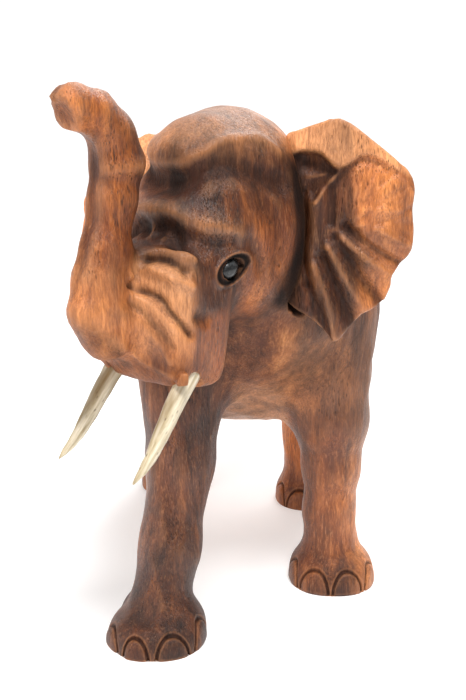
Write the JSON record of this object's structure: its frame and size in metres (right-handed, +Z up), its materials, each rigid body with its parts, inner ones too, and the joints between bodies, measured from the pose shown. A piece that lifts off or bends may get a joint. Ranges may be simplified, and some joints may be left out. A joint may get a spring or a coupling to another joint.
{
  "type": "carved elephant figurine",
  "caption": "Carved wooden elephant standing with its head turned and trunk raised, with let-in ears, pegged bone tusks and inlaid eyes.",
  "frame": {"origin": "middle of the part's footprint box on the floor plane", "axes": "+Z up, the animal faces -Y, its left side is +X"},
  "size_m": [0.1794, 0.3624, 0.3032],
  "materials": {
    "carved_wood": "satin wax over chisel-smoothed tropical hardwood, darker in the hollows",
    "ear_wood": "satin wax, redder toward the rim",
    "tusk_bone": "polished, with olive-brown streaks and pits",
    "eye_bead": "glossy",
    "dowel_wood": "plain turned wood"
  },
  "bodies": {
    "carving": {"carved_body": "carved_wood", "ear_left": "ear_wood", "ear_right": "ear_wood", "ear_dowel_left": "dowel_wood", "ear_dowel_right": "dowel_wood", "eye_left": "eye_bead", "eye_right": "eye_bead"},
    "left_tusk": {"tusk_left": "tusk_bone"},
    "right_tusk": {"tusk_right": "tusk_bone"}
  },
  "joints": [
    {"name": "tusk_left_pull", "type": "slide", "parent": "carving", "child": "left_tusk", "axis": [-0.4157, -0.5377, -0.7335], "range_m": [0, 0.02]},
    {"name": "tusk_right_pull", "type": "slide", "parent": "carving", "child": "right_tusk", "axis": [-0.4574, -0.5028, -0.7335], "range_m": [0, 0.02]}
  ]
}
